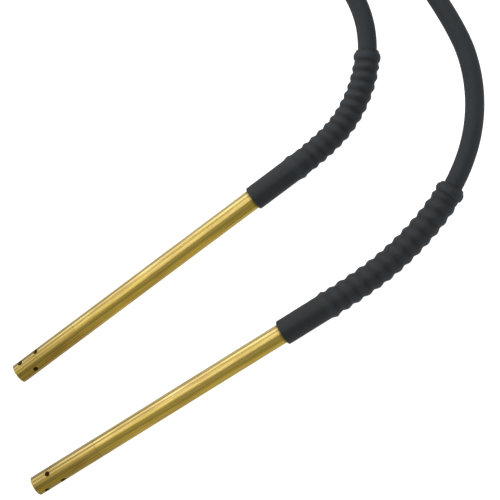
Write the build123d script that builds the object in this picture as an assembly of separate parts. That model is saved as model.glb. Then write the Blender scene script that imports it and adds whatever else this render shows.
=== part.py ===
"""Twin-head concrete vibrator: two slim brass poker heads, each on its own flexible shaft.

Each head is a tube with a screwed-in solid nose, an eccentric rotor on two ball bearings, and
an adapter that holds the hose. A rubber boot with a spiral rib guards the hose where it leaves
the head. Both hoses end in one flange, which bolts to a drive unit.

Millimetres. The part lies on the plane z = 0 with both tips towards -X. The origin is under
the middle of the two heads with their boots. A piece of a head is drawn along +X from its tip,
and a piece of a drive end along +X from the end of its hose, before it is put in its place.
"""
import os
from math import pi, radians, tan

from build123d import *

# Head: outside sizes, measured from the tip
HEAD_R = 12.5
TIP_CHAMFER = 0.5
NOSE_LENGTH = 92.0
TUBE_REAR = 418.0
TOMMY_R = 3.25
TOMMY_X = (11.5, 23.5, 35.5)
TOMMY_TURNS = (0.0, 90.0, 0.0)

# Head: bore, bearings and rotor
BORE_R = 9.5
ROTOR_BORE_R = 9.0
FIT_GAP = 0.05
FRONT_BEARING_X = 109.0
REAR_BEARING_X = 349.0
BEARING_WIDTH = 6.0
RACE_OUTER_R = 7.9
RACE_INNER_R = 5.5
BALL_COUNT = 7
BALL_R = 1.45
BALL_PITCH_R = 6.7
BALL_ROOM = 0.05
CAGE_WALL = 0.6
CAGE_WIDTH = 4.0
SHAFT_R = 4.0
SHOULDER_R = 5.2
SHOULDER_LENGTH = 6.0
ECCENTRIC_R = 8.2
ECCENTRIC_TOP = 1.5
CLIP_WIDTH = 0.9
CLIP_GROOVE = 1.0
CLIP_DEPTH = 0.5
CLIP_WALL = 2.0
CLIP_OPENING = 3.0
NOSE_RECESS_R = 7.0
NOSE_RECESS = 5.0
SHAFT_LEAD = 3.0

# Head: seals, coupling and adapter
GLAND_FLOOR_R = 7.7
RING_SECTION_R = 0.9
GLAND_WIDTH = 2.4
NOSE_GLAND_X = 95.0
ADAPTER_GLAND_X = 402.0
SEAL_X = 358.0
SEAL_WIDTH = 6.0
LIP_LENGTH = 2.5
LIP_WALL = 2.0
SPACER_WALL = 1.25
SHAFT_END_X = 366.0
DRIVE_SQUARE = 5.0
SQUARE_GAP = 0.1
SQUARE_LENGTH = 9.0
SOCKET_PLAY = 0.5
SOCKET_R = 6.5
SOCKET_REAR = 392.0
CRIMP_DEPTH = 14.0
ADAPTER_X = 394.0
ADAPTER_SHOULDER_R = 11.5
ADAPTER_SHOULDER = 6.0
BARB_LENGTH = 28.0
BARB_COUNT = 4
BARB_DEPTH = 0.5

# Hose, its steel liner and the wire core that turns in it
HOSE_R = 11.5
HOSE_BORE_R = 6.5
LINER_R = 6.4
CORE_TUNNEL_R = 4.7
CORE_R = 4.0
HOSE_START = 425.0
FIRST_CORNER = 478.0
FERRULE_LENGTH = 26.0
FERRULE_WALL = 0.8
CRIMP_GROOVES = (-18.0, -9.0)
CRIMP_GROOVE = 2.5

# Rubber boot
BOOT_FRONT = 359.0
BOOT_COLLAR = 62.0
BOOT_COLLAR_R = 15.7
BOOT_RIB_R = 16.2
BOOT_HOSE_GAP = 0.3
BOOT_TRIM = 90.0

# Drive end, measured from the end of the hose
HEX_FLATS = 24.0
HEX_START = 1.0
PLATE_FRONT = 9.0
PLATE_THICK = 12.0
NIPPLE_SHANK_R = 9.95
BUSH_R = 8.5
BUSH_START = 7.0
SPIGOT_R = 6.0
JOURNAL_R = 6.5
JOURNAL_END = 24.0
SPIGOT_START = 2.5
SPIGOT_END = 45.0
SPIGOT_COLLAR_R = 7.6
SPIGOT_FLATS = 10.0
FLAT_LENGTH = 10.0
SPIGOT_CLIP_X = 22.0
CORE_IN_SPIGOT = 9.0

# Flange plate
SOCKET_PITCH = 60.0
PLATE_WIDTH = 130.0
PLATE_HEIGHT = 44.0
PLATE_CORNER_R = 9.0
SOCKET_R_PLATE = 10.0
BOLT_R = 3.3
BOLT_SPACING_X = 108.0
BOLT_SPACING_Z = 24.0
SCREW_R = 3.0
SCREW_LENGTH = 11.5
SCREW_KEY_FLATS = 3.0

# Where the heads, the flange and the hoses' corners lie. The first corner of a hose is on
# its head's axis, so that the hose leaves the head straight.
FLANGE_X = 715.5
FLANGE_Y = 131.2
FLANGE_Z = PLATE_HEIGHT / 2
HEAD_RISE = 0.52
SIDES = {
    "a": {
        "tip": (-265.9, 34.3),
        "heading": 2.2,
        "hole_turn": -43.0,
        "socket_x": FLANGE_X + SOCKET_PITCH / 2,
        "route": [
            (264.0, 72.7, 17.0),
            (306.6, 109.1, 17.1),
            (332.9, 158.5, 17.0),
            (336.9, 216.4, 14.5),
            (361.9, 316.6, 12.0),
            (427.3, 394.5, 11.6),
            (522.5, 429.2, 11.6),
            (623.7, 411.3, 11.7),
            (704.5, 343.5, 13.0),
            (745.5, 242.7, 22.0),
        ],
        "boot_length": 238.0,
        "boot_runs": 3,
    },
    "b": {
        "tip": (-322.4, -92.7),
        "heading": -2.2,
        "hole_turn": 67.0,
        "socket_x": FLANGE_X - SOCKET_PITCH / 2,
        "route": [
            (211.0, -105.3, 17.0),
            (265.3, -91.8, 17.1),
            (316.5, -69.1, 17.0),
            (363.1, -31.3, 14.5),
            (396.2, 18.7, 12.5),
            (413.3, 76.3, 11.7),
            (415.4, 196.4, 11.6),
            (435.0, 264.9, 11.6),
            (485.7, 317.3, 11.6),
            (556.7, 335.1, 11.7),
            (625.0, 312.9, 12.5),
            (669.2, 260.2, 16.0),
            (685.5, 196.1, 22.0),
        ],
        "boot_length": 272.0,
        "boot_runs": 4,
    },
}


# Shapes that many pieces share

def turned(outline):
    """A piece turned about X: the outline is a closed list of (x, radius) points."""
    face = make_face(Polyline(*outline, close=True))
    return revolve(face, Axis.X, 360)


def ring(start, end, inner_r, outer_r):
    """A plain ring or sleeve about X."""
    return turned([(start, inner_r), (end, inner_r), (end, outer_r), (start, outer_r)])


def rod(start, end, radius):
    """A plain round bar about X."""
    return turned([(start, 0), (end, 0), (end, radius), (start, radius)])


def square_bar(start, end, across):
    """A bar of square section about X."""
    return Pos((start + end) / 2, 0, 0) * Box(end - start, across, across)


def seal_ring(centre_x):
    """An O-ring that lies in its gland and touches the bore of the tube."""
    return Pos(centre_x, 0, 0) * Rot(0, 90, 0) * Torus(BORE_R - RING_SECTION_R, RING_SECTION_R)


def circlip(start, groove_r):
    """An open spring ring that sits in a groove of a shaft."""
    clip = ring(start, start + CLIP_WIDTH, groove_r, groove_r + CLIP_WALL)
    opening = Pos(start, 0, groove_r + CLIP_WALL / 2) * Box(4, CLIP_OPENING, 2 * CLIP_WALL)
    return clip - opening


def barbed(start, step):
    """Outline points of a hose barb, from its root outwards; step is + or -1 along X."""
    pitch = step * BARB_LENGTH / BARB_COUNT
    points = []
    for tooth in range(BARB_COUNT):
        x = start + tooth * pitch
        points.append((x, HOSE_BORE_R))
        points.append((x + pitch, HOSE_BORE_R - BARB_DEPTH))
    return points


# Pieces of a head

def nose_piece(hole_turn):
    """Solid nose, screwed into the tube, with three cross holes for a tommy bar."""
    shank_r = BORE_R - FIT_GAP
    gland = NOSE_GLAND_X
    recess_x = FRONT_BEARING_X - NOSE_RECESS
    nose = turned([
        (0, 0),
        (0, HEAD_R - TIP_CHAMFER),
        (TIP_CHAMFER, HEAD_R),
        (NOSE_LENGTH, HEAD_R),
        (NOSE_LENGTH, shank_r),
        (gland, shank_r),
        (gland, GLAND_FLOOR_R),
        (gland + GLAND_WIDTH, GLAND_FLOOR_R),
        (gland + GLAND_WIDTH, shank_r),
        (FRONT_BEARING_X, shank_r),
        (FRONT_BEARING_X, NOSE_RECESS_R),
        (recess_x, NOSE_RECESS_R),
        (recess_x, 0),
    ])
    for x, turn in zip(TOMMY_X, TOMMY_TURNS):
        nose -= Pos(x, 0, 0) * Rot(hole_turn + turn, 0, 0) * Cylinder(TOMMY_R, 3 * HEAD_R)
    return nose


def nose_seal_ring():
    return seal_ring(NOSE_GLAND_X + GLAND_WIDTH / 2)


def head_tube():
    """Drawn tube. Its bore is opened out at both ends, and the bearings seat on the steps."""
    return turned([
        (NOSE_LENGTH, HEAD_R),
        (TUBE_REAR, HEAD_R),
        (TUBE_REAR, BORE_R),
        (REAR_BEARING_X, BORE_R),
        (REAR_BEARING_X, ROTOR_BORE_R),
        (FRONT_BEARING_X + BEARING_WIDTH, ROTOR_BORE_R),
        (FRONT_BEARING_X + BEARING_WIDTH, BORE_R),
        (NOSE_LENGTH, BORE_R),
    ])


def race(start, inner_r, outer_r):
    """A bearing ring with the groove that the balls run in."""
    groove = Torus(BALL_PITCH_R, BALL_R + BALL_ROOM)
    middle = Pos(start + BEARING_WIDTH / 2, 0, 0) * Rot(0, 90, 0)
    return ring(start, start + BEARING_WIDTH, inner_r, outer_r) - middle * groove


def bearing_balls():
    """The balls of both bearings, evenly spaced."""
    balls = []
    for start in (FRONT_BEARING_X, REAR_BEARING_X):
        for number in range(BALL_COUNT):
            turn = Rot(360 * number / BALL_COUNT, 0, 0)
            place = Pos(start + BEARING_WIDTH / 2, 0, 0) * turn * Pos(0, 0, BALL_PITCH_R)
            balls.append(place * Sphere(BALL_R))
    return Compound(balls)


def bearing_cages():
    """The cages of both bearings, with a pocket round each ball."""
    cages = []
    for start in (FRONT_BEARING_X, REAR_BEARING_X):
        middle = start + BEARING_WIDTH / 2
        cage = ring(
            middle - CAGE_WIDTH / 2,
            middle + CAGE_WIDTH / 2,
            BALL_PITCH_R - CAGE_WALL,
            BALL_PITCH_R + CAGE_WALL,
        )
        for number in range(BALL_COUNT):
            turn = Rot(360 * number / BALL_COUNT, 0, 0)
            pocket = Sphere(BALL_R + BALL_ROOM)
            cage -= Pos(middle, 0, 0) * turn * Pos(0, 0, BALL_PITCH_R) * pocket
        cages.append(cage)
    return Compound(cages)


def clip_places():
    """Where the two circlips of a rotor start: outside the front and the rear bearing."""
    front = FRONT_BEARING_X - CLIP_GROOVE
    rear = REAR_BEARING_X + BEARING_WIDTH + CLIP_GROOVE - CLIP_WIDTH
    return front, rear


def eccentric_rotor():
    """Shaft and half-round weight in one piece, with a square drive at the rear."""
    front_face = FRONT_BEARING_X + BEARING_WIDTH
    weight_start = front_face + SHOULDER_LENGTH
    weight_end = REAR_BEARING_X - SHOULDER_LENGTH
    rotor = rod(FRONT_BEARING_X - SHAFT_LEAD, SHAFT_END_X, SHAFT_R)
    rotor += rod(front_face, weight_start, SHOULDER_R)
    rotor += rod(weight_end, REAR_BEARING_X, SHOULDER_R)
    weight = rod(weight_start, weight_end, ECCENTRIC_R)
    middle = (weight_start + weight_end) / 2
    cut_depth = 2 * ECCENTRIC_R
    cut = Box(weight_end - weight_start + 2, 3 * ECCENTRIC_R, cut_depth)
    rotor += weight - Pos(middle, 0, ECCENTRIC_TOP + cut_depth / 2) * cut
    rotor += square_bar(SHAFT_END_X, SHAFT_END_X + SQUARE_LENGTH, DRIVE_SQUARE)
    for start in clip_places():
        rotor -= ring(start, start + CLIP_GROOVE, SHAFT_R - CLIP_DEPTH, SHAFT_R + 1)
    return rotor


def rotor_circlips():
    return Compound([circlip(start, SHAFT_R - CLIP_DEPTH) for start in clip_places()])


def shaft_seal():
    """Lip seal behind the rear bearing, with its open side to the hose."""
    lip_r = SHAFT_R + FIT_GAP
    return turned([
        (SEAL_X, lip_r),
        (SEAL_X + LIP_LENGTH, lip_r),
        (SEAL_X + LIP_LENGTH, lip_r + LIP_WALL),
        (SEAL_X + SEAL_WIDTH, lip_r + LIP_WALL),
        (SEAL_X + SEAL_WIDTH, BORE_R),
        (SEAL_X, BORE_R),
    ])


def seal_spacer():
    """Sleeve that holds the shaft seal off the adapter."""
    outer_r = BORE_R - FIT_GAP
    return ring(SEAL_X + SEAL_WIDTH, ADAPTER_X, outer_r - SPACER_WALL, outer_r)


def core_end_socket():
    """Fitting on the core's end: a square socket for the rotor and a bore for the core."""
    start = SHAFT_END_X + SOCKET_PLAY
    square_end = SHAFT_END_X + SQUARE_LENGTH + SOCKET_PLAY
    socket = rod(start, SOCKET_REAR, SOCKET_R)
    socket -= square_bar(start - 1, square_end, DRIVE_SQUARE + SQUARE_GAP)
    return socket - rod(SOCKET_REAR - CRIMP_DEPTH, SOCKET_REAR + 1, CORE_R + FIT_GAP)


def rear_adapter():
    """Adapter screwed into the rear of the tube; its barb holds the hose."""
    shank_r = BORE_R - FIT_GAP
    gland = ADAPTER_GLAND_X
    shoulder_end = TUBE_REAR + ADAPTER_SHOULDER
    outline = [
        (ADAPTER_X, CORE_TUNNEL_R),
        (ADAPTER_X, shank_r),
        (gland, shank_r),
        (gland, GLAND_FLOOR_R),
        (gland + GLAND_WIDTH, GLAND_FLOOR_R),
        (gland + GLAND_WIDTH, shank_r),
        (TUBE_REAR, shank_r),
        (TUBE_REAR, ADAPTER_SHOULDER_R),
        (shoulder_end, ADAPTER_SHOULDER_R),
    ]
    outline += barbed(shoulder_end, 1)
    outline.append((shoulder_end + BARB_LENGTH, CORE_TUNNEL_R))
    return turned(outline)


def adapter_seal_ring():
    return seal_ring(ADAPTER_GLAND_X + GLAND_WIDTH / 2)


def head_ferrule():
    """Steel sleeve crimped over the hose on the adapter's barb."""
    return ring(HOSE_START, HOSE_START + FERRULE_LENGTH, HOSE_R, HOSE_R + FERRULE_WALL)


# Pieces that follow the route of the hose

def corner_sizes(points):
    """Largest arc that each corner of the route allows, and half of the corner's turn."""
    sizes = []
    for before, corner, after in zip(points, points[1:], points[2:]):
        run_in = Vector(*corner) - Vector(*before)
        run_out = Vector(*after) - Vector(*corner)
        half_turn = radians(run_in.get_angle(run_out)) / 2
        shorter = min(run_in.length, run_out.length)
        sizes.append((0.45 * shorter / tan(half_turn), half_turn))
    return sizes


def on_axis(side, x):
    """The point of a head's axis at distance x from its tip, as a tuple."""
    place = head_place(side)
    spot = (place * Pos(x, 0, 0)).position
    return (spot.X, spot.Y, spot.Z)


def hose_route(side):
    """Corner points of the hose's line, from the adapter to the flange."""
    straight = [on_axis(side, HOSE_START), on_axis(side, FIRST_CORNER)]
    return straight + side["route"] + [hose_end(side, 0)]


def route_line(side, start, end, corners=None):
    """The hose's line between two points that lie on its first and last straight runs."""
    route = hose_route(side)
    radii = [size[0] for size in corner_sizes(route)]
    count = corners or len(radii)
    points = [start] + route[1:count + 1] + [end]
    return FilletPolyline(*points, radius=radii[:count])


def swept(line, outer_r, inner_r=0.0):
    """A tube or a bar along a line of straight runs and arcs."""
    start = Plane(origin=line @ 0, z_dir=line % 0)
    section = Circle(outer_r)
    if inner_r:
        section -= Circle(inner_r)
    return sweep(start * section, path=line)


def hose_end(side, distance):
    """The point of the drive end's axis at this distance past the end of the hose."""
    return (side["socket_x"], FLANGE_Y - distance, FLANGE_Z)


def hose_cover(side):
    line = route_line(side, on_axis(side, HOSE_START), hose_end(side, 0))
    return swept(line, HOSE_R, HOSE_BORE_R)


def hose_liner(side):
    """Steel-wound liner: it fills the hose's bore between the two barbs."""
    start = TUBE_REAR + ADAPTER_SHOULDER + BARB_LENGTH
    line = route_line(side, on_axis(side, start), hose_end(side, -BARB_LENGTH))
    return swept(line, LINER_R, CORE_TUNNEL_R)


def flexible_core(side):
    """Wire core: it runs from the head's socket through the liner into the spigot."""
    start = SOCKET_REAR - CRIMP_DEPTH + SOCKET_PLAY
    line = route_line(side, on_axis(side, start), hose_end(side, SPIGOT_START + CORE_IN_SPIGOT))
    return swept(line, CORE_R)


def bend_boot(side):
    """Rubber boot: a plain collar on the tube, then the ribbed stretch, cut off square."""
    place = head_place(side)
    collar_end = BOOT_FRONT + BOOT_COLLAR
    corners = side["boot_runs"]
    route = hose_route(side)
    middle = (Vector(*route[corners]) + Vector(*route[corners + 1])) / 2
    far_point = (middle.X, middle.Y, middle.Z)
    line = route_line(side, on_axis(side, collar_end), far_point, corners)
    ribbed = swept(line, BOOT_RIB_R, HOSE_R + BOOT_HOSE_GAP)
    share = (side["boot_length"] - BOOT_COLLAR) / line.length
    cut_off = Plane(origin=line @ share, z_dir=line % share)
    ribbed -= cut_off * Pos(0, 0, BOOT_TRIM / 2) * Box(BOOT_TRIM, BOOT_TRIM, BOOT_TRIM)
    bore_end = HOSE_START + FERRULE_LENGTH + 1.0
    boot = ribbed + place * rod(BOOT_FRONT, collar_end, BOOT_COLLAR_R)
    return boot - place * rod(BOOT_FRONT - 1, bore_end, HEAD_R)


# Pieces of a drive end

def drive_ferrule():
    """Steel sleeve crimped over the hose on the nipple's barb, with two pressed grooves."""
    sleeve = ring(-FERRULE_LENGTH, 0, HOSE_R, HOSE_R + FERRULE_WALL)
    for x in CRIMP_GROOVES:
        sleeve -= ring(x, x + CRIMP_GROOVE, HOSE_R + FERRULE_WALL / 2, HOSE_R + 2)
    return sleeve


def hose_nipple():
    """Barb, spanner hexagon and shank in one piece; the shank fits the flange plate."""
    plate_back = PLATE_FRONT + PLATE_THICK
    bore_start = HEX_START + 0.5
    barb = barbed(HEX_START, -1)
    outline = barb + [
        (HEX_START - BARB_LENGTH, CORE_TUNNEL_R),
        (bore_start, CORE_TUNNEL_R),
        (bore_start, BUSH_R),
        (plate_back, BUSH_R),
        (plate_back, NIPPLE_SHANK_R),
        (PLATE_FRONT, NIPPLE_SHANK_R),
        (HEX_START, NIPPLE_SHANK_R),
    ]
    hexagon = Plane.YZ * RegularPolygon(HEX_FLATS / 2, 6, major_radius=False)
    nut = Pos(HEX_START, 0, 0) * extrude(hexagon, PLATE_FRONT - HEX_START)
    return turned(outline) + (nut - rod(0, PLATE_FRONT + 1, NIPPLE_SHANK_R - 0.5))


def drive_bush():
    """Bronze bush pressed into the nipple."""
    return ring(BUSH_START, PLATE_FRONT + PLATE_THICK, JOURNAL_R + FIT_GAP, BUSH_R)


def drive_spigot():
    """Driven stub: a bore for the core, a collar inside the nipple and two flats outside."""
    spigot = rod(SPIGOT_START, SPIGOT_END, SPIGOT_R)
    spigot += rod(SPIGOT_START, JOURNAL_END, JOURNAL_R)
    spigot += rod(SPIGOT_START + 0.5, BUSH_START - 0.4, SPIGOT_COLLAR_R)
    spigot -= rod(SPIGOT_START - 1, SPIGOT_START + CORE_IN_SPIGOT + 1.5, CORE_R + FIT_GAP)
    groove_r = JOURNAL_R - CLIP_DEPTH
    spigot -= ring(SPIGOT_CLIP_X, SPIGOT_CLIP_X + CLIP_GROOVE, groove_r, JOURNAL_R + 1)
    for sign in (1, -1):
        flat = Box(FLAT_LENGTH + 1, 3 * SPIGOT_R, SPIGOT_R)
        centre_x = SPIGOT_END - FLAT_LENGTH / 2 + 0.5
        spigot -= Pos(centre_x, 0, sign * (SPIGOT_FLATS / 2 + SPIGOT_R / 2)) * flat
    return spigot


def spigot_circlip():
    return circlip(SPIGOT_CLIP_X, JOURNAL_R - CLIP_DEPTH)


def flange_plate():
    """Cast plate that stands on its long edge: two sockets, four bolt holes, two tapped holes."""
    outline = RectangleRounded(PLATE_WIDTH, PLATE_HEIGHT, PLATE_CORNER_R)
    for x in (-SOCKET_PITCH / 2, SOCKET_PITCH / 2):
        outline -= Pos(x, 0) * Circle(SOCKET_R_PLATE)
    for x in (-BOLT_SPACING_X / 2, BOLT_SPACING_X / 2):
        for z in (-BOLT_SPACING_Z / 2, BOLT_SPACING_Z / 2):
            outline -= Pos(x, z) * Circle(BOLT_R)
    middle = (FLANGE_X, FLANGE_Y - PLATE_FRONT, FLANGE_Z)
    front = Plane(origin=middle, x_dir=(1, 0, 0), z_dir=(0, -1, 0))
    plate = extrude(front * outline, PLATE_THICK)
    middle_y = FLANGE_Y - PLATE_FRONT - PLATE_THICK / 2
    for x in (-SOCKET_PITCH / 2, SOCKET_PITCH / 2):
        hole = Cylinder(SCREW_R + FIT_GAP, PLATE_HEIGHT / 2)
        plate -= Pos(FLANGE_X + x, middle_y, FLANGE_Z + PLATE_HEIGHT / 4 + 2) * hole
    return plate


def lock_screws():
    """Set screws with a hexagon socket; each holds a nipple's shank in the plate."""
    middle_y = FLANGE_Y - PLATE_FRONT - PLATE_THICK / 2
    foot = FLANGE_Z + NIPPLE_SHANK_R
    screws = []
    for x in (-SOCKET_PITCH / 2, SOCKET_PITCH / 2):
        screw = Pos(0, 0, SCREW_LENGTH / 2) * Cylinder(SCREW_R, SCREW_LENGTH)
        key = extrude(RegularPolygon(SCREW_KEY_FLATS / 2, 6, major_radius=False), 4)
        screw -= Pos(0, 0, SCREW_LENGTH - 3) * key
        screws.append(Pos(FLANGE_X + x, middle_y, foot) * screw)
    return Compound(screws)


# Places

def head_place(side):
    """A head's place: its tip's lower edge and its boot rest on the ground."""
    x, y = side["tip"]
    return Pos(x, y, HEAD_R) * Rot(0, 0, side["heading"]) * Rot(0, -HEAD_RISE, 0)


def drive_place(side):
    """A drive end's place: its axis runs along -Y from the end of the hose."""
    return Pos(side["socket_x"], FLANGE_Y, FLANGE_Z) * Rot(0, 0, -90)


def head_pieces(side):
    """Every piece of a head that is drawn along its axis."""
    return {
        "nose_piece": nose_piece(side["hole_turn"]),
        "nose_seal_ring": nose_seal_ring(),
        "head_tube": head_tube(),
        "front_bearing_outer": race(FRONT_BEARING_X, RACE_OUTER_R, BORE_R),
        "front_bearing_inner": race(FRONT_BEARING_X, SHAFT_R, RACE_INNER_R),
        "rear_bearing_outer": race(REAR_BEARING_X, RACE_OUTER_R, BORE_R),
        "rear_bearing_inner": race(REAR_BEARING_X, SHAFT_R, RACE_INNER_R),
        "bearing_balls": bearing_balls(),
        "bearing_cages": bearing_cages(),
        "eccentric_rotor": eccentric_rotor(),
        "rotor_circlips": rotor_circlips(),
        "shaft_seal": shaft_seal(),
        "seal_spacer": seal_spacer(),
        "core_end_socket": core_end_socket(),
        "rear_adapter": rear_adapter(),
        "adapter_seal_ring": adapter_seal_ring(),
        "head_ferrule": head_ferrule(),
    }


def drive_pieces():
    """Every piece of a drive end that is drawn along its axis."""
    return {
        "drive_ferrule": drive_ferrule(),
        "hose_nipple": hose_nipple(),
        "drive_bush": drive_bush(),
        "drive_spigot": drive_spigot(),
        "spigot_circlip": spigot_circlip(),
    }


def report_hose(name, side, solid):
    """Print the hose's length and corner radii, and its volume against section times length."""
    line = route_line(side, on_axis(side, HOSE_START), hose_end(side, 0))
    section = pi * (HOSE_R**2 - HOSE_BORE_R**2)
    radii = [round(size[0]) for size in corner_sizes(hose_route(side))]
    print(f"hose {name}: {line.length:.1f} mm, corner radii {radii}")
    print(f"hose {name}: volume / (section x length) = {solid.volume / section / line.length:.4f}")


def main():
    os.makedirs("parts", exist_ok=True)
    pieces = {"flange_plate": flange_plate(), "lock_screws": lock_screws()}
    for name, side in SIDES.items():
        for node, solid in head_pieces(side).items():
            pieces[f"{node}_{name}"] = head_place(side) * solid
        for node, solid in drive_pieces().items():
            pieces[f"{node}_{name}"] = drive_place(side) * solid
        for make in (hose_cover, hose_liner, flexible_core, bend_boot):
            pieces[f"{make.__name__}_{name}"] = make(side)
        report_hose(name, side, pieces[f"hose_cover_{name}"])
    for node, solid in pieces.items():
        export_step(solid, f"parts/{node}.step")


main()
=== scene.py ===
import math

import bpy
import numpy as np
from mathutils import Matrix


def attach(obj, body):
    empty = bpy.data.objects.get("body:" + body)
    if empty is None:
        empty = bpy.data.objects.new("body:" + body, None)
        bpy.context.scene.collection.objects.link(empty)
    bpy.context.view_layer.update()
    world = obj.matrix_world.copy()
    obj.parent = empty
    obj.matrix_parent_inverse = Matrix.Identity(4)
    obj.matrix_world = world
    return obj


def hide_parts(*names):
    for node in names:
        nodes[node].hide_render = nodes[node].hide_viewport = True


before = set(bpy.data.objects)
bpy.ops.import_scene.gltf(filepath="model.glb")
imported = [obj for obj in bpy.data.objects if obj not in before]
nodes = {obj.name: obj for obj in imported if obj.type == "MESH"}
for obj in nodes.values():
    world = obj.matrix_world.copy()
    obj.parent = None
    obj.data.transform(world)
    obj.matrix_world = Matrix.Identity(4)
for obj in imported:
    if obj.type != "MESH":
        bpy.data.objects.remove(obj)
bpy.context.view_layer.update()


# Camera: high over the bench with a long lens, looking nearly straight down and turned, so that
# both heads run down to the left and both hoses leave the view at its top.
camera_data = bpy.data.cameras.new("camera")
camera_data.lens = 99.2
camera_data.sensor_width = 36.0
camera = bpy.data.objects.new("camera", camera_data)
camera.location = (0.2106, -0.2333, 1.6582)
camera.rotation_euler = [math.radians(a) for a in (3.745, 8.834, -33.699)]
bpy.context.scene.collection.objects.link(camera)
bpy.context.scene.camera = camera


# Hose routes: each hose leaves its head straight, bends through a wide turn on the bench and
# comes back to the shared flange. Points are the corners that its smooth spline is drawn from.
ROUTES = {
    "a": [
        (0.15877, 0.05061, 0.01636),
        (0.21173, 0.05265, 0.01684),
        (0.264, 0.0727, 0.017),
        (0.3066, 0.1091, 0.0171),
        (0.3329, 0.1585, 0.017),
        (0.3369, 0.2164, 0.0145),
        (0.3619, 0.3166, 0.012),
        (0.4273, 0.3945, 0.0116),
        (0.5225, 0.4292, 0.0116),
        (0.6237, 0.4113, 0.0117),
        (0.7045, 0.3435, 0.013),
        (0.7455, 0.2427, 0.022),
        (0.7455, 0.1312, 0.022),
    ],
    "b": [
        (0.10227, -0.10901, 0.01636),
        (0.15523, -0.11105, 0.01684),
        (0.211, -0.1053, 0.017),
        (0.2653, -0.0918, 0.0171),
        (0.3165, -0.0691, 0.017),
        (0.3631, -0.0313, 0.0145),
        (0.3962, 0.0187, 0.0125),
        (0.4133, 0.0763, 0.0117),
        (0.4154, 0.1964, 0.0116),
        (0.435, 0.2649, 0.0116),
        (0.4857, 0.3173, 0.0116),
        (0.5567, 0.3351, 0.0117),
        (0.625, 0.3129, 0.0125),
        (0.6692, 0.2602, 0.016),
        (0.6855, 0.1961, 0.022),
        (0.6855, 0.1312, 0.022),
    ],
}
# Each head's axis: the point at its tip, and its heading in degrees from the X axis.
HEAD_AXES = {
    "a": ((-0.2659, 0.0343, 0.0125), 2.2),
    "b": ((-0.3224, -0.0927, 0.0125), -2.2),
}
HEAD_RISE = math.radians(0.52)
HOSE_START = 0.425
LINE_STEP = 0.002
FINE_STEP = 0.0005
JUST_SHORT = 1e-5


def head_axis(side):
    """The head's own line: a point at its tip and the direction from the tip to the hose."""
    tip, heading = HEAD_AXES[side]
    turn = math.radians(heading)
    direction = (
        math.cos(turn) * math.cos(HEAD_RISE),
        math.sin(turn) * math.cos(HEAD_RISE),
        math.sin(HEAD_RISE),
    )
    return np.array(tip), np.array(direction)


def smooth_line(side):
    """The middle line of a hose: equal steps along the smooth spline that its route controls."""
    curve = bpy.data.curves.new("route_" + side, "CURVE")
    curve.dimensions = "3D"
    curve.resolution_u = 24
    spline = curve.splines.new("NURBS")
    spline.points.add(len(ROUTES[side]) - 1)
    spline.points.foreach_set("co", np.c_[ROUTES[side], np.ones(len(ROUTES[side]))].ravel())
    spline.order_u = 3
    spline.use_endpoint_u = True
    holder = bpy.data.objects.new("route_" + side, curve)
    mesh = bpy.data.meshes.new_from_object(holder)
    points = np.empty(len(mesh.vertices) * 3)
    mesh.vertices.foreach_get("co", points)
    points = points.reshape(-1, 3)
    bpy.data.objects.remove(holder)
    bpy.data.curves.remove(curve)
    bpy.data.meshes.remove(mesh)
    return equal_steps(points, LINE_STEP)


def equal_steps(points, step):
    """The same line with points that stand one step apart, counted along it."""
    run = np.r_[0, np.cumsum(np.linalg.norm(np.diff(points, axis=0), axis=1))]
    count = max(2, int(round(run[-1] / step)) + 1)
    places = np.linspace(0, run[-1], count)
    return np.stack([np.interp(places, run, points[:, k]) for k in range(3)], axis=1)


HOSE_LINES = {side: smooth_line(side) for side in ROUTES}


def line_from_head(side, start, end, step):
    """A line that starts on the head's own axis, start metres from the tip, and goes on along the
    hose to end metres, measured along it."""
    tip, direction = head_axis(side)
    straight = tip + direction * np.array([start, HOSE_START - JUST_SHORT])[:, None]
    line = equal_steps(np.vstack([straight, HOSE_LINES[side]]), FINE_STEP)
    count = int(round((end - start) / FINE_STEP)) + 1
    return equal_steps(line[:count], step)


def line_frames(line):
    """Two directions square to the line at each of its points. The first starts level and to the
    left, and each is carried on along the line with no twist beyond the line's own turning."""
    along = np.gradient(line, axis=0)
    along /= np.linalg.norm(along, axis=1)[:, None]
    up = np.array([0.0, 0.0, 1.0])
    left = np.cross(up, along)
    left /= np.linalg.norm(left, axis=1)[:, None]
    return left, np.cross(along, left)


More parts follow.
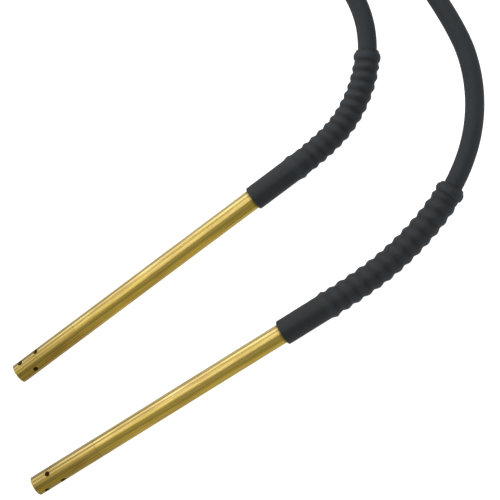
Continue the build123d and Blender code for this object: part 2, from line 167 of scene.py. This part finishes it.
def skin_along(name, line, places, radii, sides, closed):
    """A surface carried along a line: at each place, metres from its start, a ring of the given
    radii, one for each of the angles round it. Closed joins the last ring to the first; otherwise
    the rings at both ends are shut by a disc."""
    left, up = line_frames(line)
    run = np.r_[0, np.cumsum(np.linalg.norm(np.diff(line, axis=0), axis=1))]
    angle = np.linspace(0, 2 * math.pi, sides, endpoint=False)

    def at(table):
        return np.stack([np.interp(places, run, table[:, k]) for k in range(3)], axis=1)

    centre, left, up = at(line), at(left), at(up)
    radii = np.broadcast_to(radii, (len(places), sides))
    ring = left[:, None, :] * np.cos(angle)[None, :, None]
    ring = ring + up[:, None, :] * np.sin(angle)[None, :, None]
    points = centre[:, None, :] + ring * radii[:, :, None]
    rows, cols = np.meshgrid(np.arange(len(places)), np.arange(sides), indexing="ij")
    if not closed:
        rows, cols = rows[:-1], cols[:-1]
    next_row, next_col = (rows + 1) % len(places), (cols + 1) % sides
    quads = np.stack(
        [
            rows * sides + cols,
            rows * sides + next_col,
            next_row * sides + next_col,
            next_row * sides + cols,
        ],
        axis=-1,
    ).reshape(-1, 4)
    faces = quads.tolist()
    if not closed:
        faces.append(list(range(sides))[::-1])
        faces.append(list(range((len(places) - 1) * sides, len(places) * sides)))
    mesh = bpy.data.meshes.new(name)
    mesh.from_pydata(points.reshape(-1, 3), [], faces)
    mesh.polygons.foreach_set("use_smooth", np.ones(len(faces), dtype=bool))
    mesh.update()
    piece = bpy.data.objects.new(name, mesh)
    bpy.context.scene.collection.objects.link(piece)
    return piece


# Bend boots: one-piece rubber mouldings pulled over the back of the head and the first part of
# the hose. A plain collar grips the tube, and one rib winds round the rest so that it can bend.
COLLAR_END = 0.062
RIB_TURNS = 14.27
RIB_FADE = 0.014
RIB_POWER = 0.8
RING_SLANT = 0.0014
RING_RISE, RING_FALL = 0.0046, 0.0024
NECK_FROM, NECK_TO = 0.020, 0.014
FRONT_ROUND = 0.0022
BACK_ROUND = 0.0036
BACK_GAP = 0.0006
BEAD_BACK, BEAD_HALF = 0.0085, 0.0052
BORE_STEP_FROM, BORE_STEP_TO = 0.091, 0.094
BENCH_GAP = 0.0001
BORE_ON_TUBE_R = 0.01256
BORE_ON_HOSE_R = 0.01156
NECK_RISE, BEAD_SINK = 0.0002, 0.0002
CREST_CAP = 1.3
BOOT_SIDES = 96
FRONT_RINGS, BACK_RINGS = 7, 9
RIB_RING_STEP = 0.0008
BORE_RING_STEP = 0.006
BOOT_LINE_STEP = 0.001
BOOTS = {
    "a": {
        "start": 0.362,
        "length": 0.236,
        "collar": 0.0153,
        "ring": 0.0169,
        "rib": 0.0161,
        "root": 0.0143,
        "bead": 0.0164,
        "lead": 0.28,
        "rib_from": 0.010,
        "ring_at": 0.0038,
    },
    "b": {
        "start": 0.358,
        "length": 0.272,
        "collar": 0.0160,
        "ring": 0.0179,
        "rib": 0.0172,
        "root": 0.0152,
        "bead": 0.0178,
        "lead": -0.04,
        "rib_from": 0.003,
        "ring_at": 0.0046,
    },
}


def ease(x, start, end):
    """Goes from 0 at start to 1 at end along a smooth S."""
    t = np.clip((x - start) / (end - start), 0, 1)
    return t * t * (3 - 2 * t)


def boot_radius(x, angle, size):
    """Outside radius of a boot at x metres from its front, and how high its surface stands there,
    from 0 at the rib's root to 1 at its crest and a little more on the ring. The rib is a
    raised cosine, its crest broadened by a power under 1, that climbs one pitch a turn. A
    raised ring, a bell curve a little aslant, ends the collar. A bead, half an ellipse, is
    near the back, and a quarter ellipse rounds the edge of each end."""
    length, root = size["length"], size["root"]
    pitch = (length - COLLAR_END) / RIB_TURNS
    turns = (x - COLLAR_END) / pitch - size["lead"] - angle / (2 * math.pi)
    wave = (0.5 + 0.5 * np.cos(2 * math.pi * turns)) ** RIB_POWER
    rib = root + (size["rib"] - root) * wave
    neck = ease(x, length - NECK_FROM, length - NECK_TO)
    rib_start = COLLAR_END + size["rib_from"]
    ribbed = ease(x, rib_start, rib_start + RIB_FADE) * (1 - neck)
    plain = size["collar"] * (1 - neck) + (root + NECK_RISE) * neck
    radius = plain * (1 - ribbed) + rib * ribbed
    past_ring = x - COLLAR_END - size["ring_at"] + RING_SLANT * np.cos(angle)
    ring = np.exp(-((past_ring / np.where(past_ring < 0, RING_RISE, RING_FALL)) ** 2))
    radius = radius + (size["ring"] - size["collar"]) * ring
    bead = np.sqrt(np.clip(1 - ((x - length + BEAD_BACK) / BEAD_HALF) ** 2, 0, 1))
    radius = np.maximum(radius, root - BEAD_SINK + (size["bead"] - root + BEAD_SINK) * bead)
    height = np.clip((radius - root) / (size["rib"] - root), 0, CREST_CAP)
    front = 1 - np.clip(x / FRONT_ROUND, 0, 1)
    front = FRONT_ROUND * (1 - np.sqrt(1 - front ** 2))
    back = np.clip((x - length + BACK_ROUND) / BACK_ROUND, 0, 1)
    back = (BORE_ON_HOSE_R + BACK_GAP - radius) * (1 - np.sqrt(np.clip(1 - back ** 2, 0, 1)))
    return radius - front + back, height


def bend_boot(side):
    """Outside surface from front to back, then the bore back to the front, as one closed skin.
    Where the boot is thicker than its height off the bench, the rubber is flattened by lying
    on it."""
    size = BOOTS[side]
    length = size["length"]
    front = FRONT_ROUND * (1 - np.cos(np.linspace(0, math.pi / 2, FRONT_RINGS)))[:-1]
    back = length - BACK_ROUND * (1 - np.sin(np.linspace(0, math.pi / 2, BACK_RINGS)))
    outside = np.r_[front, np.arange(FRONT_ROUND, length - BACK_ROUND, RIB_RING_STEP), back]
    inside = np.r_[np.arange(length, 0.0, -BORE_RING_STEP), 0.0]
    angle = np.linspace(0, 2 * math.pi, BOOT_SIDES, endpoint=False)[None, :]
    outer, height = boot_radius(outside[:, None], angle, size)
    on_tube = 1 - ease(inside, BORE_STEP_FROM, BORE_STEP_TO)
    bore = BORE_ON_HOSE_R + (BORE_ON_TUBE_R - BORE_ON_HOSE_R) * on_tube
    inner = np.repeat(bore[:, None], BOOT_SIDES, axis=1)
    line = line_from_head(side, size["start"], size["start"] + length, BOOT_LINE_STEP)
    places, radii = np.r_[outside, inside], np.vstack([outer, inner])
    piece = skin_along("bend_boot_skin_" + side, line, places, radii, BOOT_SIDES, True)
    mesh = piece.data
    points = np.empty(len(mesh.vertices) * 3)
    mesh.vertices.foreach_get("co", points)
    points[2::3] = np.maximum(points[2::3], BENCH_GAP)
    mesh.vertices.foreach_set("co", points)
    relief = mesh.attributes.new("rib_height", "FLOAT", "POINT")
    relief.data.foreach_set("value", np.vstack([height, np.zeros_like(inner)]).ravel())
    mesh.update()
    return piece


def linear(colour):
    """A colour given as the usual six-digit screen value, turned to linear light."""
    parts = [int(colour[k : k + 2], 16) / 255 for k in (1, 3, 5)]
    return [p / 12.92 if p <= 0.04045 else ((p + 0.055) / 1.055) ** 2.4 for p in parts] + [1.0]


def add(tree, kind, settings=None, links=None):
    """Adds a node of a kind, with its settings and input values, and links its inputs."""
    node = tree.nodes.new(kind)
    for key, value in (settings or {}).items():
        if isinstance(key, str) and hasattr(node, key):
            setattr(node, key, value)
        else:
            node.inputs[key].default_value = value
    for key, source in (links or {}).items():
        tree.links.new(source, node.inputs[key])
    return node


def new_material(name, **values):
    """A material with one shader, whose plain values are set on the shader's own sockets."""
    material = bpy.data.materials.new(name)
    material.use_nodes = True
    tree = material.node_tree
    shader = tree.nodes["Principled BSDF"]
    for key, value in values.items():
        shader.inputs[key.replace("_", " ")].default_value = value
    return material, tree, shader


def ramp(tree, factor, stops):
    """A colour ramp with its stops, each a place from 0 to 1 and a screen colour or a grey."""
    node = add(tree, "ShaderNodeValToRGB", links={"Fac": factor})
    marks = node.color_ramp.elements
    while len(marks) < len(stops):
        marks.new(0.5)
    for mark, (place, colour) in zip(marks, stops):
        mark.position = place
        mark.color = linear(colour) if isinstance(colour, str) else [colour] * 3 + [1.0]
    return node


CLOUDS_PER_METRE = 32.0
SPECKS_PER_METRE = 900.0


def rubber(name, dark, light, bloom, roughness, relief=None):
    """Cured rubber: matt charcoal with a slight bloom, faint cloudy patches 30 mm across, dust and
    a fine orange-peel surface. The specks are about a millimetre wide, coarser than real dust, so
    that they show. Where a relief is named, light and shade are painted along it: its crests are
    painted paler, a painted highlight, and its grooves darker, painted shade."""
    material, tree, shader = new_material(name, Specular_IOR_Level=0.42)
    place = add(tree, "ShaderNodeTexCoord").outputs["Object"]
    cloud = add(
        tree,
        "ShaderNodeTexNoise",
        {"Scale": CLOUDS_PER_METRE, "Detail": 4.0, "Roughness": 0.6},
        {"Vector": place},
    )
    base = ramp(tree, cloud.outputs["Fac"], [(0.3, dark), (0.72, light)])
    speck = add(
        tree,
        "ShaderNodeTexNoise",
        {"Scale": SPECKS_PER_METRE, "Detail": 2.0},
        {"Vector": place},
    )
    dust = ramp(tree, speck.outputs["Fac"], [(0.6, 0.0), (0.78, 0.5)])
    mixed = add(
        tree,
        "ShaderNodeMix",
        {"data_type": "RGBA", 7: linear(bloom)},
        {0: dust.outputs["Color"], 6: base.outputs["Color"]},
    )
    colour = mixed.outputs[2]
    # Painted light: along the relief the crests are painted paler, a painted highlight, and the
    # grooves darker, painted shade.
    if relief:
        crest = add(tree, "ShaderNodeAttribute", {"attribute_name": relief})
        painted_shading = add(
            tree,
            "ShaderNodeMapRange",
            {"To Min": 0.35, "To Max": 1.45},
            {"Value": crest.outputs["Fac"]},
        )
        shaded = add(
            tree,
            "ShaderNodeVectorMath",
            {"operation": "SCALE"},
            {0: colour, "Scale": painted_shading.outputs["Result"]},
        )
        colour = shaded.outputs["Vector"]
    tree.links.new(colour, shader.inputs["Base Color"])
    rough = add(
        tree,
        "ShaderNodeMapRange",
        {"To Min": roughness - 0.08, "To Max": roughness + 0.08},
        {"Value": cloud.outputs["Fac"]},
    )
    tree.links.new(rough.outputs["Result"], shader.inputs["Roughness"])
    bump = add(
        tree,
        "ShaderNodeBump",
        {"Strength": 0.25, "Distance": 0.0002},
        {"Height": speck.outputs["Fac"]},
    )
    tree.links.new(bump.outputs["Normal"], shader.inputs["Normal"])
    return material


# The boot's rib height drives a painted highlight on its crests and painted shade in its grooves.
boot_rubber = rubber("moulded_boot_rubber", "#12181c", "#161c20", "#2a2d30", 0.55, "rib_height")
for side in ROUTES:
    boot = bend_boot(side)
    boot.data.materials.append(boot_rubber)
    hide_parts("bend_boot_" + side)
    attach(boot, "vibrator")


# Hoses: an extruded rubber cover over a steel-wound liner, with the wire core inside it. All three
# follow one line; the liner lies between the two barbs, and the core runs on into its fittings.
HOSE_R = 0.0115
HOSE_BORE_R = 0.0066
LINER_R, LINER_BORE_R = 0.0064, 0.0047
CORE_R = 0.0040
LINER_START = 0.452
LINER_SHORT = 0.027
EDGE_ROUND = 0.0004
CORE_START = 0.3785
CORE_PAST_HOSE = 0.0115
STRANDS = 7
SIDES_PER_STRAND = 6
STRAND_LAY = 0.040
STRAND_RISE = 0.0003
HOSE_SIDES, LINER_SIDES = 64, 40
HOSE_RING_STEP = 0.003
CORE_RING_STEP = 0.0025


def hose_tube(name, line, outer_r, bore_r, sides):
    """A tube as one closed skin: its outside from start to end, then its bore back again. The
    outer edge of both ends is rounded by two short steps."""
    length = np.linalg.norm(np.diff(line, axis=0), axis=1).sum()
    places = np.linspace(0, length, int(length / HOSE_RING_STEP) + 1)
    edge = np.array([EDGE_ROUND, EDGE_ROUND / 4])
    outside = np.r_[0.0, edge[::-1], places[1:-1], length - edge, length]
    outer = np.full(len(outside), outer_r)
    outer[[0, -1]] -= EDGE_ROUND
    outer[[1, -2]] -= EDGE_ROUND / 4
    places = np.r_[outside, places[::-1]]
    radii = np.r_[outer, np.full(len(places) - len(outside), bore_r)]
    return skin_along(name, line, places, radii[:, None], sides, True)


def wire_core(side):
    """Wire core: strands wound round the line, each a rounded ridge, the absolute value of a
    cosine, that climbs one lay a turn."""
    tip, direction = head_axis(side)
    head_part = tip + direction * np.array([CORE_START, HOSE_START - JUST_SHORT])[:, None]
    end = HOSE_LINES[side][-1] + np.array([0.0, -CORE_PAST_HOSE, 0.0])
    line = equal_steps(np.vstack([head_part, HOSE_LINES[side], end]), LINE_STEP)
    length = np.linalg.norm(np.diff(line, axis=0), axis=1).sum()
    places = np.linspace(0, length, int(length / CORE_RING_STEP) + 1)
    sides = SIDES_PER_STRAND * STRANDS
    angle = np.linspace(0, 2 * math.pi, sides, endpoint=False)[None, :]
    phase = STRANDS * (angle + 2 * math.pi * places[:, None] / STRAND_LAY)
    radii = CORE_R - STRAND_RISE + STRAND_RISE * np.abs(np.cos(phase / 2))
    return skin_along("flexible_core_wire_" + side, line, places, radii, sides, False)


hose_rubber = rubber("extruded_hose_rubber", "#181e22", "#1f2428", "#33373a", 0.64)

# Wound steel of the liner and the core: grey, with a film of grease that dulls it in patches.
liner_steel, liner_tree, liner_shader = new_material(
    "wound_flat_steel",
    Metallic=1.0,
    Base_Color=linear("#8d8f91"),
)
place = add(liner_tree, "ShaderNodeTexCoord").outputs["Object"]
grime = add(liner_tree, "ShaderNodeTexNoise", {"Scale": 120.0, "Detail": 3.0}, {"Vector": place})
rough = add(
    liner_tree,
    "ShaderNodeMapRange",
    {"To Min": 0.3, "To Max": 0.55},
    {"Value": grime.outputs["Fac"]},
)
liner_tree.links.new(rough.outputs["Result"], liner_shader.inputs["Roughness"])

for side in ROUTES:
    line = HOSE_LINES[side]
    cover = hose_tube("hose_cover_tube_" + side, line, HOSE_R, HOSE_BORE_R, HOSE_SIDES)
    cover.data.materials.append(hose_rubber)
    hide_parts("hose_cover_" + side)
    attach(cover, "vibrator")
    run = np.r_[0, np.cumsum(np.linalg.norm(np.diff(line, axis=0), axis=1))]
    liner_line = line[(run > LINER_START - HOSE_START) & (run < run[-1] - LINER_SHORT)]
    liner = hose_tube("hose_liner_tube_" + side, liner_line, LINER_R, LINER_BORE_R, LINER_SIDES)
    core = wire_core(side)
    for piece, node in ((liner, "hose_liner_"), (core, "flexible_core_")):
        piece.data.materials.append(liner_steel)
        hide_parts(node + side)
        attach(piece, "vibrator")


# Heads: drawn brass tube, bright and slightly streaked along its length by the drawing die, with
# a nose turned from brass bar screwed into its front. The nose has gone duller and browner.
STREAKS_PER_METRE = (4.0, 420.0, 420.0)
STAINS_PER_METRE = (14.0, 70.0, 70.0)
SEAM_HALF = 0.0002
SEAM_FADE = 0.0009
SEAM_SHADE = {"a": 0.88, "b": 0.74}
SEAM_PLACE = 0.092
# Painted shadow on the tube in front of the boot's lip: its width, the width of its darkest part,
# and how dark it gets.
LIP_SHADOW_BAND, LIP_SHADOW_CORE = 0.0035, 0.0005
LIP_SHADOW_DARKNESS = 0.4
# The colour darkens smoothly towards the tip over this length, to TIP_SHADE of itself at the tip.
TIP_DARKENING_LENGTH = 0.17
TIP_SHADE = 0.66
MIDDLE_STREAK = 0.55
FACED_FROM, FACED_TO = 0.0002, 0.0006
# Painted highlight: how strongly the brass is painted paler towards +Y and upward, and the offset
# of that paler side.
PAINTED_LIGHT_LEFT, PAINTED_LIGHT_UP, PAINTED_LIGHT_BIAS = 34.0, 18.0, 0.1
MOTTLE_GAIN, MOTTLE_BIAS = 1.6, -0.95
HOLE_WALL_R = 0.0122
HOLE_WALL_FADE = 0.00025
HOLE_ROUGHER = 0.4


def head_place(tree, side):
    """Object coordinates turned so that X runs from the head's tip along its axis."""
    tip, heading = HEAD_AXES[side]
    place = add(tree, "ShaderNodeTexCoord").outputs["Object"]
    turned = add(
        tree,
        "ShaderNodeMapping",
        {
            "vector_type": "TEXTURE",
            "Location": tip,
            "Rotation": (0.0, -HEAD_RISE, math.radians(heading)),
        },
        {"Vector": place},
    )
    return turned.outputs["Vector"]


def brass(name, side, painted_highlight_colour, painted_shade_colour, brown, roughness):
    """Brass painted paler on the upper left, a painted highlight where the light falls, and deeper
    on the rest, painted shade, with streaks along the axis, brown stains 15 mm across, and a dark
    line at the joint. The streaks are 1 to 3 mm wide, coarser than real drawing marks, so that they
    show.
    The colour darkens towards the tip. The flat end is faced clean, the drilled walls are rough,
    and a painted shadow darkens the tube just in front of the boot's lip."""
    material, tree, shader = new_material(name + "_" + side, Metallic=1.0)
    place = head_place(tree, side)
    split = add(tree, "ShaderNodeSeparateXYZ", links={"Vector": place})
    stretched = add(tree, "ShaderNodeMapping", {"Scale": STREAKS_PER_METRE}, {"Vector": place})
    streak = add(
        tree,
        "ShaderNodeTexNoise",
        {"Scale": 1.0, "Detail": 4.0, "Roughness": 0.65},
        {"Vector": stretched.outputs["Vector"]},
    )
    faced = add(
        tree,
        "ShaderNodeMapRange",
        {"From Min": FACED_FROM, "From Max": FACED_TO},
        {"Value": split.outputs["X"]},
    )
    off_middle = add(
        tree,
        "ShaderNodeMath",
        {"operation": "SUBTRACT", 1: MIDDLE_STREAK},
        {0: streak.outputs["Fac"]},
    )
    marks = add(
        tree,
        "ShaderNodeMath",
        {"operation": "MULTIPLY_ADD", 2: MIDDLE_STREAK},
        {0: off_middle.outputs[0], 1: faced.outputs["Result"]},
    ).outputs[0]
    wide = add(tree, "ShaderNodeMapping", {"Scale": STAINS_PER_METRE}, {"Vector": place})
    stain = add(
        tree,
        "ShaderNodeTexNoise",
        {"Scale": 1.0, "Detail": 5.0, "Roughness": 0.6},
        {"Vector": wide.outputs["Vector"]},
    )
    # Painted light: the brass is painted paler on its upper left, where the light falls, as a
    # painted highlight, and deeper on the rest, as painted shade.
    left = add(
        tree,
        "ShaderNodeMath",
        {"operation": "MULTIPLY_ADD", 1: PAINTED_LIGHT_LEFT, 2: PAINTED_LIGHT_BIAS},
        {0: split.outputs["Y"]},
    )
    painted_light_side = add(
        tree,
        "ShaderNodeMath",
        {"operation": "MULTIPLY_ADD", 1: PAINTED_LIGHT_UP},
        {0: split.outputs["Z"], 2: left.outputs[0]},
    )
    mottle = add(
        tree,
        "ShaderNodeMath",
        {"operation": "MULTIPLY_ADD", 1: MOTTLE_GAIN, 2: MOTTLE_BIAS},
        {0: marks},
    )
    painted_shading = add(
        tree,
        "ShaderNodeMath",
        {"operation": "ADD", "use_clamp": True},
        {0: painted_light_side.outputs[0], 1: mottle.outputs[0]},
    )
    # Lit and shaded copies of the brass: the ramp runs from the painted shade colour to the painted
    # highlight colour.
    tone = ramp(tree, painted_shading.outputs[0], [(0.05, painted_shade_colour), (0.75, painted_highlight_colour)])
    amount = ramp(tree, stain.outputs["Fac"], [(0.5, 0.0), (0.74, 0.5)])
    stained = add(
        tree,
        "ShaderNodeMix",
        {"data_type": "RGBA", 7: linear(brown)},
        {0: amount.outputs["Color"], 6: tone.outputs["Color"]},
    )
    off_seam = add(
        tree,
        "ShaderNodeMath",
        {"operation": "SUBTRACT", 1: SEAM_PLACE},
        {0: split.outputs["X"]},
    )
    distance = add(tree, "ShaderNodeMath", {"operation": "ABSOLUTE"}, {0: off_seam.outputs[0]})
    line_dark = add(
        tree,
        "ShaderNodeMapRange",
        {"From Min": SEAM_HALF, "From Max": SEAM_FADE, "To Min": SEAM_SHADE[side], "To Max": 1.0},
        {"Value": distance.outputs[0]},
    )
    # Darker towards the tip: the colour is scaled down smoothly over the first stretch from the
    # tip.
    darker_to_tip = add(
        tree,
        "ShaderNodeMapRange",
        {
            "interpolation_type": "SMOOTHSTEP",
            "From Min": 0.0,
            "From Max": TIP_DARKENING_LENGTH,
            "To Min": TIP_SHADE,
            "To Max": 1.0,
        },
        {"Value": split.outputs["X"]},
    )
    lip = BOOTS[side]["start"]
    # Painted shadow: a narrow band of the tube just in front of the boot's lip is darkened, where
    # the boot shades it.
    lip_shadow = add(
        tree,
        "ShaderNodeMapRange",
        {
            "From Min": lip - LIP_SHADOW_BAND,
            "From Max": lip - LIP_SHADOW_CORE,
            "To Min": 1.0,
            "To Max": LIP_SHADOW_DARKNESS,
        },
        {"Value": split.outputs["X"]},
    )
    # The dark joint line combined with the painted shadow at the boot's lip.
    seam_and_lip_shadow = add(
        tree,
        "ShaderNodeMath",
        {"operation": "MULTIPLY"},
        {0: line_dark.outputs["Result"], 1: lip_shadow.outputs["Result"]},
    )
    seam_lip_shadow_and_tip_darkening = add(
        tree,
        "ShaderNodeMath",
        {"operation": "MULTIPLY"},
        {0: seam_and_lip_shadow.outputs[0], 1: darker_to_tip.outputs["Result"]},
    )
    drawn = ramp(tree, marks, [(0.38, 0.62), (0.51, 1.0)])
    streaks_and_painted_shadow = add(
        tree,
        "ShaderNodeMath",
        {"operation": "MULTIPLY"},
        {0: seam_lip_shadow_and_tip_darkening.outputs[0], 1: drawn.outputs["Color"]},
    )
    final = add(
        tree,
        "ShaderNodeVectorMath",
        {"operation": "SCALE"},
        {0: stained.outputs[2], "Scale": streaks_and_painted_shadow.outputs[0]},
    )
    tree.links.new(final.outputs["Vector"], shader.inputs["Base Color"])
    rough = add(
        tree,
        "ShaderNodeMapRange",
        {"To Min": roughness - 0.09, "To Max": roughness + 0.12},
        {"Value": stain.outputs["Fac"]},
    )
    across = add(
        tree,
        "ShaderNodeCombineXYZ",
        links={"Y": split.outputs["Y"], "Z": split.outputs["Z"]},
    )
    off_axis = add(
        tree,
        "ShaderNodeVectorMath",
        {"operation": "LENGTH"},
        {0: across.outputs["Vector"]},
    )
    inner = add(
        tree,
        "ShaderNodeMapRange",
        {
            "From Min": HOLE_WALL_R,
            "From Max": HOLE_WALL_R - HOLE_WALL_FADE,
            "To Min": 0.0,
            "To Max": HOLE_ROUGHER,
        },
        {"Value": off_axis.outputs["Value"]},
    )
    drilled = add(
        tree,
        "ShaderNodeMath",
        {"operation": "ADD"},
        {0: rough.outputs["Result"], 1: inner.outputs["Result"]},
    )
    tree.links.new(drilled.outputs[0], shader.inputs["Roughness"])
    bump = add(tree, "ShaderNodeBump", {"Strength": 0.12, "Distance": 0.0002}, {"Height": marks})
    tree.links.new(bump.outputs["Normal"], shader.inputs["Normal"])
    return material


def repaint(node, material):
    """Gives a carried-over solid its finish."""
    slots = nodes[node].data.materials
    slots.clear()
    slots.append(material)


# Each brass is given a painted highlight colour, a painted shade colour, a stain brown and a
# roughness.
for side in ROUTES:
    repaint(
        "head_tube_" + side,
        brass("drawn_brass_tube", side, "#e2d09c", "#ceb04c", "#96703a", 0.25),
    )
    repaint(
        "nose_piece_" + side,
        brass("turned_brass_bar", side, "#dfcb95", "#c8a848", "#8f6a38", 0.3),
    )


# Other parts: bearings, rotors, seals, fittings, screws and the cast flange. Metal that runs in
# grease is bare, metal that is handled is plated or cast, and the seals are moulded rubber.
def plain_metal(name, colour, worn, roughness, cloud_size, grain_size, relief):
    """Bare or plated metal: its colour drifts to the worn one in clouds of one size, and a grain
    of another size, from turning or casting, roughens the surface. Sizes are in metres. Turning
    marks are drawn about a millimetre wide, coarser than real ones, so that they show."""
    material, tree, shader = new_material(name, Metallic=1.0)
    place = add(tree, "ShaderNodeTexCoord").outputs["Object"]
    cloud = add(
        tree,
        "ShaderNodeTexNoise",
        {"Scale": 1 / cloud_size, "Detail": 4.0},
        {"Vector": place},
    )
    grain = add(
        tree,
        "ShaderNodeTexNoise",
        {"Scale": 1 / grain_size, "Detail": 3.0},
        {"Vector": place},
    )
    tone = ramp(tree, cloud.outputs["Fac"], [(0.35, colour), (0.7, worn)])
    tree.links.new(tone.outputs["Color"], shader.inputs["Base Color"])
    rough = add(
        tree,
        "ShaderNodeMapRange",
        {"To Min": roughness - 0.08, "To Max": roughness + 0.1},
        {"Value": grain.outputs["Fac"]},
    )
    tree.links.new(rough.outputs["Result"], shader.inputs["Roughness"])
    bump = add(
        tree,
        "ShaderNodeBump",
        {"Strength": 0.4, "Distance": relief},
        {"Height": grain.outputs["Fac"]},
    )
    tree.links.new(bump.outputs["Normal"], shader.inputs["Normal"])
    return material


# Turned steel: mid grey with a fine grain.
turned_steel = plain_metal("turned_steel", "#9b9ea1", "#7f8284", 0.3, 0.02, 0.0012, 0.00004)
# Hardened and ground bearing steel: pale and close to a mirror.
bearing_steel = plain_metal(
    "hardened_bearing_steel",
    "#c2c5c8",
    "#a9acb0",
    0.16,
    0.01,
    0.0008,
    0.00001,
)
# Blued spring steel: dark blue-grey.
spring_steel = plain_metal("blued_spring_steel", "#4a4e58", "#34363c", 0.34, 0.008, 0.0008, 0.00002)
# Zinc-plated steel: pale grey in soft cloudy patches.
zinc_plate = plain_metal("zinc_plated_steel", "#c3c8cb", "#9fa5a8", 0.34, 0.012, 0.0012, 0.00004)
# Phosphor bronze of the bushes: brown-gold.
phosphor_bronze = plain_metal("phosphor_bronze", "#b98650", "#8f6236", 0.33, 0.008, 0.001, 0.00003)
# Machined bronze of the ball cages: yellower than the bushes.
cage_bronze = plain_metal("machined_cage_bronze", "#cda45a", "#ab8142", 0.3, 0.006, 0.0008, 0.00002)
# Sand-cast aluminium: matt pale grey, with the coarse grain that the sand leaves.
cast_aluminium = plain_metal(
    "sand_cast_aluminium",
    "#b4b6b7",
    "#97999a",
    0.48,
    0.025,
    0.0013,
    0.00025,
)
# Black oxide on the screws: nearly black.
black_screw = plain_metal("black_oxide_screw", "#25262a", "#3b3a3a", 0.42, 0.004, 0.0008, 0.00003)
# Moulded nitrile of the seals: matt black.
nitrile = rubber("moulded_nitrile", "#17181a", "#1f2022", "#2c2d2e", 0.5)

FINISHES = [
    (
        bearing_steel,
        [
            "front_bearing_outer",
            "front_bearing_inner",
            "rear_bearing_outer",
            "rear_bearing_inner",
            "bearing_balls",
        ],
    ),
    (
        turned_steel,
        ["eccentric_rotor", "seal_spacer", "core_end_socket", "rear_adapter", "drive_spigot"],
    ),
    (spring_steel, ["rotor_circlips", "spigot_circlip"]),
    (zinc_plate, ["head_ferrule", "drive_ferrule", "hose_nipple"]),
    (phosphor_bronze, ["drive_bush"]),
    (cage_bronze, ["bearing_cages"]),
    (nitrile, ["nose_seal_ring", "adapter_seal_ring", "shaft_seal"]),
]
for finish, names in FINISHES:
    for name in names:
        for side in ROUTES:
            repaint(name + "_" + side, finish)
repaint("flange_plate", cast_aluminium)
repaint("lock_screws", black_screw)


# Bench, light and air: a pale table lit by two long soft panels, one low on the far left and one
# overhead on the left, with a weaker light from all round that is weakest from straight above.
floor_mesh = bpy.data.meshes.new("pale_bench")
reach = 12.0
corners = [(-reach, -reach, 0), (reach, -reach, 0), (reach, reach, 0), (-reach, reach, 0)]
floor_mesh.from_pydata(corners, [], [(0, 1, 2, 3)])
floor = bpy.data.objects.new("pale_bench", floor_mesh)
bpy.context.scene.collection.objects.link(floor)
floor_paint, floor_tree, floor_shader = new_material(
    "matt_white_bench",
    Base_Color=(0.93, 0.93, 0.93, 1.0),
    Roughness=0.9,
)
floor_shader.inputs["Specular IOR Level"].default_value = 0.0
floor_shader.inputs["Emission Color"].default_value = (1.0, 1.0, 1.0, 1.0)
floor_shader.inputs["Emission Strength"].default_value = 0.85
floor_mesh.materials.append(floor_paint)
floor.visible_glossy = False


def soft_panel(name, place, size, turn, power):
    """A flat soft light of the given size, which shines down its own -Z."""
    data = bpy.data.lights.new(name, "AREA")
    data.shape = "RECTANGLE"
    data.size, data.size_y = size
    data.energy = power
    lamp = bpy.data.objects.new(name, data)
    lamp.location = place
    lamp.rotation_euler = turn
    lamp.visible_camera = False
    bpy.context.scene.collection.objects.link(lamp)


soft_panel("low_panel", (0.0, 2.6, 0.85), (7.0, 1.5), (math.radians(-90), 0, 0), 38.0)
soft_panel("high_panel", (0.0, 1.16, 2.4), (7.0, 2.2), (0, 0, 0), 52.0)

world = bpy.data.worlds.new("studio_air")
world.use_nodes = True
air = world.node_tree
background = air.nodes["Background"]
skyward = add(air, "ShaderNodeTexCoord").outputs["Generated"]
height = add(air, "ShaderNodeSeparateXYZ", links={"Vector": skyward})
dimmer_above = add(
    air,
    "ShaderNodeMapRange",
    {
        "interpolation_type": "SMOOTHSTEP",
        "From Min": 0.3,
        "From Max": 0.9,
        "To Min": 0.71,
        "To Max": 0.42,
    },
    {"Value": height.outputs["Z"]},
)
air.links.new(dimmer_above.outputs["Result"], background.inputs["Strength"])
background.inputs["Color"].default_value = (0.96, 0.98, 1.0, 1.0)
bpy.context.scene.world = world
bpy.context.scene.view_settings.view_transform = "Standard"
